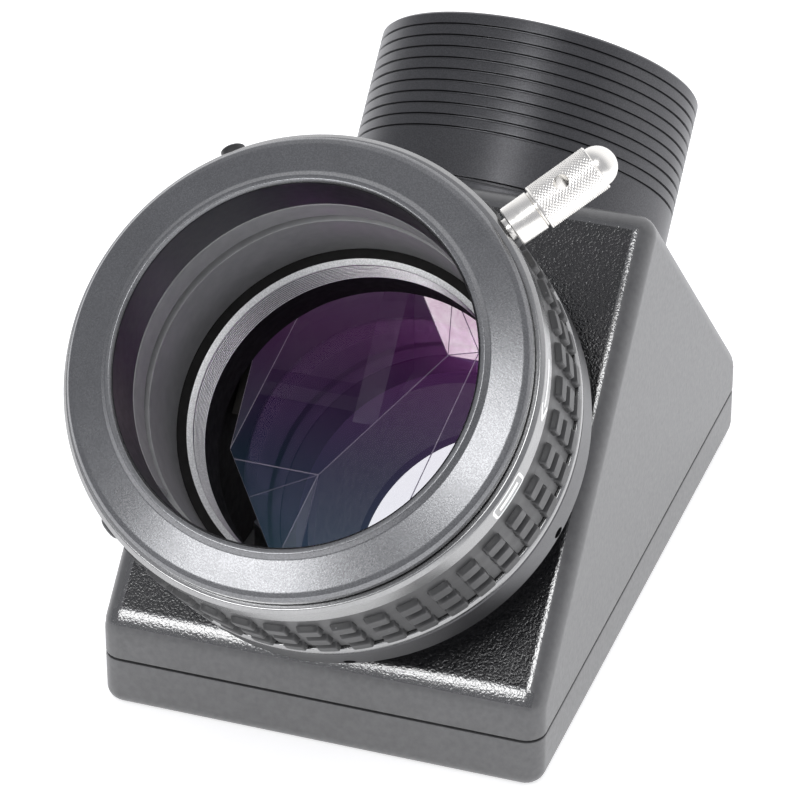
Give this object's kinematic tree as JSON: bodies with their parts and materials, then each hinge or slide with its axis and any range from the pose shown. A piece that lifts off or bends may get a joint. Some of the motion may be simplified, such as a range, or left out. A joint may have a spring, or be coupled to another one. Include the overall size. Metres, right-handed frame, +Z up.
{
  "type": "roof prism star diagonal",
  "caption": "Right-angle roof-prism star diagonal with a 2 inch nosepiece and a twist-lock eyepiece clamp, lying flat on its cover.",
  "frame": {"origin": "centre of the underside of the base cover, which the part stands on", "axes": "+Z up, +Y towards the nosepiece, -Y towards the eyepiece clamp, +X to the right as seen from the eyepiece side; the eyepiece axis is (0, -0.7071, 0.7071) and the nosepiece axis is (0, 0.7071, 0.7071), and they cross at (0, 0, 0.0089)"},
  "size_m": [0.0707, 0.1501, 0.0924],
  "materials": {
    "wrinkle_black": "black wrinkle coat on cast aluminium",
    "satin_black": "satin black anodised aluminium",
    "matt_black": "matt black anodised aluminium",
    "rubber": "moulded black rubber, semi-matt",
    "bright_nickel": "satin nickel plate over brass, knurled",
    "steel": "plain steel",
    "brass": "blackened spring brass",
    "glass": "optical glass, polished, purple anti-reflection coat",
    "foam": "black cork-rubber pad",
    "bare_aluminium": "bare machined aluminium"
  },
  "bodies": {
    "housing": {"prism_housing": "wrinkle_black", "base_cover": "satin_black", "roof_prism": "glass", "prism_cradle": "bare_aluminium", "prism_pad_left": "foam", "prism_pad_right": "foam", "prism_pad_top": "foam", "nosepiece_barrel": "satin_black", "nosepiece_lock_ring": "satin_black", "clamp_mount_ring": "matt_black", "clamp_body": "satin_black", "front_flange": "satin_black", "clamp_band": "brass", "detent_spring": "steel", "cradle_screw_left": "steel", "cradle_screw_right": "steel", "cover_screw_1": "steel", "cover_screw_2": "steel", "cover_screw_3": "steel", "cover_screw_4": "steel"},
    "lock_ring": {"lock_ring": "satin_black", "grip_rubber": "rubber", "clamp_lever": "bright_nickel", "plug_screw_upper": "matt_black", "plug_screw_lower": "matt_black"},
    "roller_1": {"clamp_roller_1": "steel"},
    "roller_2": {"clamp_roller_2": "steel"},
    "roller_3": {"clamp_roller_3": "steel"},
    "detent_ball": {"detent_ball": "steel"}
  },
  "joints": [
    {"name": "lock_ring_turn", "type": "hinge", "parent": "housing", "child": "lock_ring", "pos_m": [0, 0, 0.0089], "axis": [0, -0.7071, 0.7071], "range_deg": [-35, 0]},
    {"name": "roller_1_slide", "type": "slide", "parent": "housing", "child": "roller_1", "axis": [-0.866, -0.3536, -0.3536], "range_m": [0, 0.00021]},
    {"name": "roller_2_slide", "type": "slide", "parent": "housing", "child": "roller_2", "axis": [0.866, -0.3536, -0.3536], "range_m": [0, 0.00021]},
    {"name": "roller_3_slide", "type": "slide", "parent": "housing", "child": "roller_3", "axis": [0, 0.7071, 0.7071], "range_m": [0, 0.00021]},
    {"name": "detent_ball_slide", "type": "slide", "parent": "housing", "child": "detent_ball", "axis": [0, -0.7071, 0.7071], "range_m": [-0.00035, 0], "stiffness_N_per_m": 200, "springref_m": 0.0002}
  ],
  "couplings": [
    {"joint": "roller_1_slide", "follows": "lock_ring_turn", "m_per_rad": -0.000343},
    {"joint": "roller_2_slide", "follows": "lock_ring_turn", "m_per_rad": -0.000343},
    {"joint": "roller_3_slide", "follows": "lock_ring_turn", "m_per_rad": -0.000343}
  ]
}
